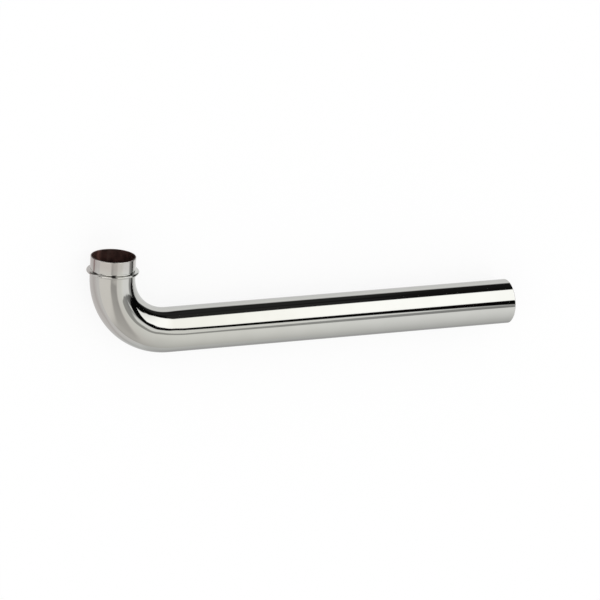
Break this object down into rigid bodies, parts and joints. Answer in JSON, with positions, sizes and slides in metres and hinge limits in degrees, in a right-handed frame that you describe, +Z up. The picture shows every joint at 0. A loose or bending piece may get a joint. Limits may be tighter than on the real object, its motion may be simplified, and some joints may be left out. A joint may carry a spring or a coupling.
{
  "type": "waste pipe bend",
  "caption": "Chrome-plated brass waste pipe with one right-angle bend, a short inlet leg with a folded collar for a union nut, and a long straight run to the outlet.",
  "frame": {"origin": "on the surface that the bend lies on, in the middle of its footprint", "axes": "+X along the long run towards the outlet, +Y towards the inlet leg, +Z up; the bend lies on its side, rolled about the run until the collar meets the surface, so the inlet leg rises about 3 degrees"},
  "size_m": [0.3285, 0.0746, 0.0369],
  "materials": {
    "plated_tube": "bright chrome plating on brass tube, polished outside, dull brown inside the bore"
  },
  "bodies": {
    "root": {"waste_pipe_bend": "plated_tube"}
  },
  "joints": []
}
